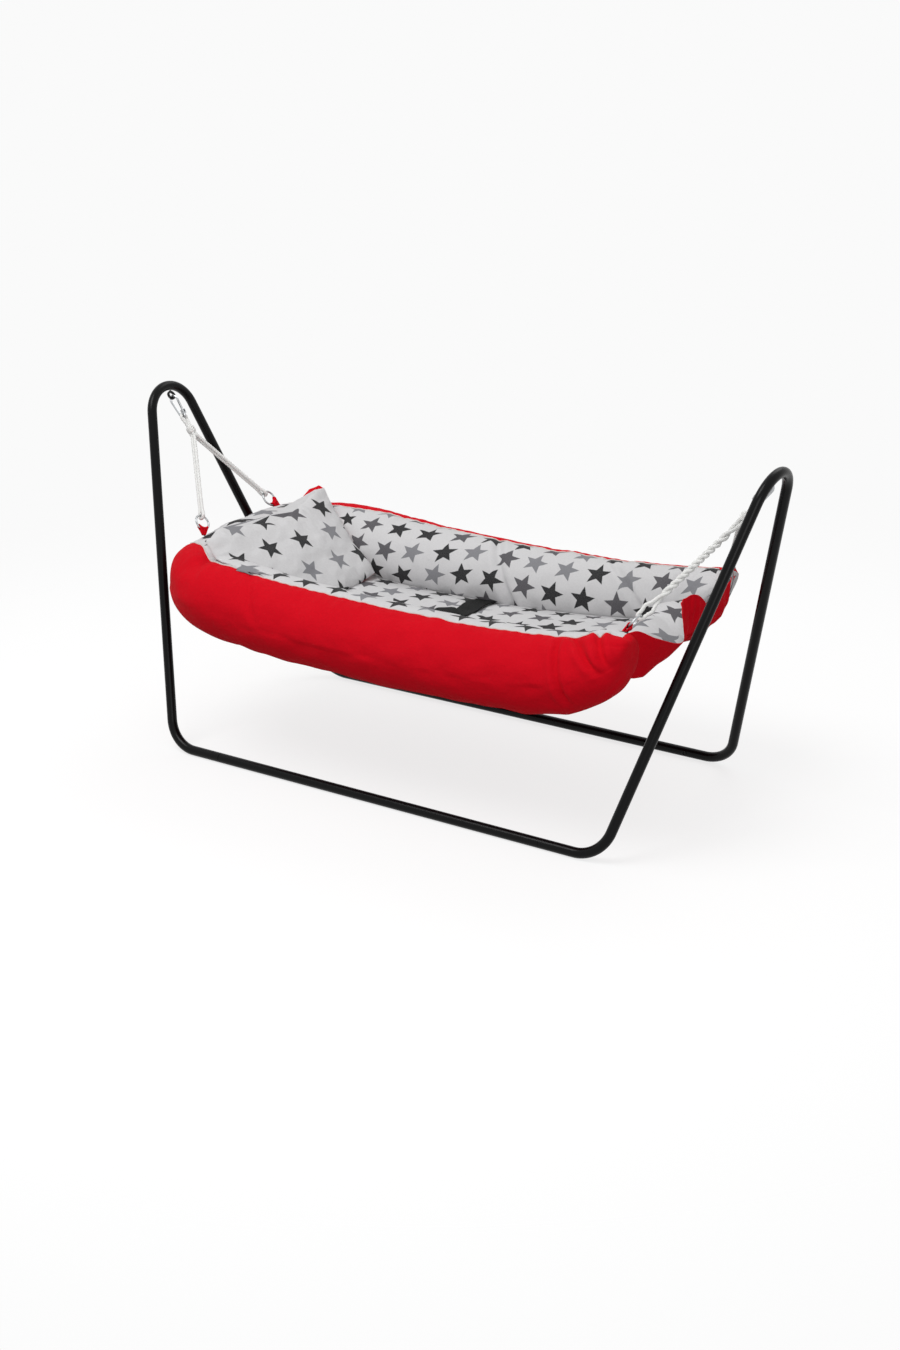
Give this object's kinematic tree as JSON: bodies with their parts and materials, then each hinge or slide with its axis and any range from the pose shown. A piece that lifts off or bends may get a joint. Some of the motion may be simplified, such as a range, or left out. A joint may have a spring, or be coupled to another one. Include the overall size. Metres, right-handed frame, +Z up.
{
  "type": "hanging baby cradle",
  "caption": "Padded cloth cradle with a raised stuffed side, hung by ropes and snap hooks between the two leaning hoops of a tube stand.",
  "frame": {"origin": "on the floor below the middle of the stand", "axes": "+X from the head end to the foot end, +Z up"},
  "size_m": [1.3608, 0.614, 0.6719],
  "materials": {
    "black_tube": "black powder coat, satin",
    "zinc": "bright zinc plate",
    "rope": "twisted white polyester rope",
    "red_cotton": "plain red cotton",
    "star_cotton": "light grey cotton printed with plain stars",
    "black_webbing": "woven black strap"
  },
  "bodies": {
    "stand": {"head_hoop": "black_tube", "foot_hoop": "black_tube", "front_floor_rail": "black_tube", "rear_floor_rail": "black_tube", "head_lug": "black_tube", "foot_lug": "black_tube", "front_head_joint_screw": "black_tube", "rear_head_joint_screw": "black_tube", "front_foot_joint_screw": "black_tube", "rear_foot_joint_screw": "black_tube"},
    "cradle": {"head_snap_hook": "zinc", "foot_snap_hook": "zinc", "head_gate_rivet": "zinc", "foot_gate_rivet": "zinc", "head_rope_eye": "rope", "foot_rope_eye": "rope", "head_rope_whipping": "rope", "foot_rope_whipping": "rope", "head_front_rope": "rope", "head_rear_rope": "rope", "foot_front_rope": "rope", "foot_rear_rope": "rope", "head_front_ring": "zinc", "head_rear_ring": "zinc", "foot_front_ring": "zinc", "foot_rear_ring": "zinc", "head_front_tab": "red_cotton", "head_rear_tab": "red_cotton", "foot_front_tab": "red_cotton", "foot_rear_tab": "red_cotton", "side_bolster": "red_cotton", "mattress": "star_cotton", "base_cover": "red_cotton", "foot_collar": "red_cotton"},
    "head_gate": {"head_snap_gate": "zinc"},
    "foot_gate": {"foot_snap_gate": "zinc"},
    "pillow": {"pillow": "star_cotton"},
    "front_belt": {"front_belt_half": "black_webbing"},
    "rear_belt": {"rear_belt_half": "black_webbing"}
  },
  "joints": [
    {"name": "cradle_swing", "type": "hinge", "parent": "stand", "child": "cradle", "pos_m": [0, 0, 0.6427], "axis": [1, 0, 0], "range_deg": [-20, 20]},
    {"name": "head_gate_hinge", "type": "hinge", "parent": "cradle", "child": "head_gate", "pos_m": [-0.62979, 0, 0.61581], "axis": [0, -1, 0], "range_deg": [0, 24], "stiffness_Nm_per_rad": 0.1, "springref_deg": -8.59},
    {"name": "foot_gate_hinge", "type": "hinge", "parent": "cradle", "child": "foot_gate", "pos_m": [0.6299, 0, 0.61572], "axis": [0, 1, 0], "range_deg": [0, 24], "stiffness_Nm_per_rad": 0.1, "springref_deg": -8.59},
    {"name": "pillow_lift", "type": "slide", "parent": "cradle", "child": "pillow", "axis": [0, 0, 1], "range_m": [0, 0.2]},
    {"name": "front_belt_turn", "type": "hinge", "parent": "cradle", "child": "front_belt", "pos_m": [0.044, -0.134, 0.2905], "axis": [1, 0, 0], "range_deg": [0, 55]},
    {"name": "rear_belt_turn", "type": "hinge", "parent": "cradle", "child": "rear_belt", "pos_m": [0.006, 0.1336, 0.2885], "axis": [-1, 0, 0], "range_deg": [0, 55]}
  ],
  "couplings": [
    {"joint": "rear_belt_turn", "follows": "front_belt_turn", "ratio": 1}
  ]
}
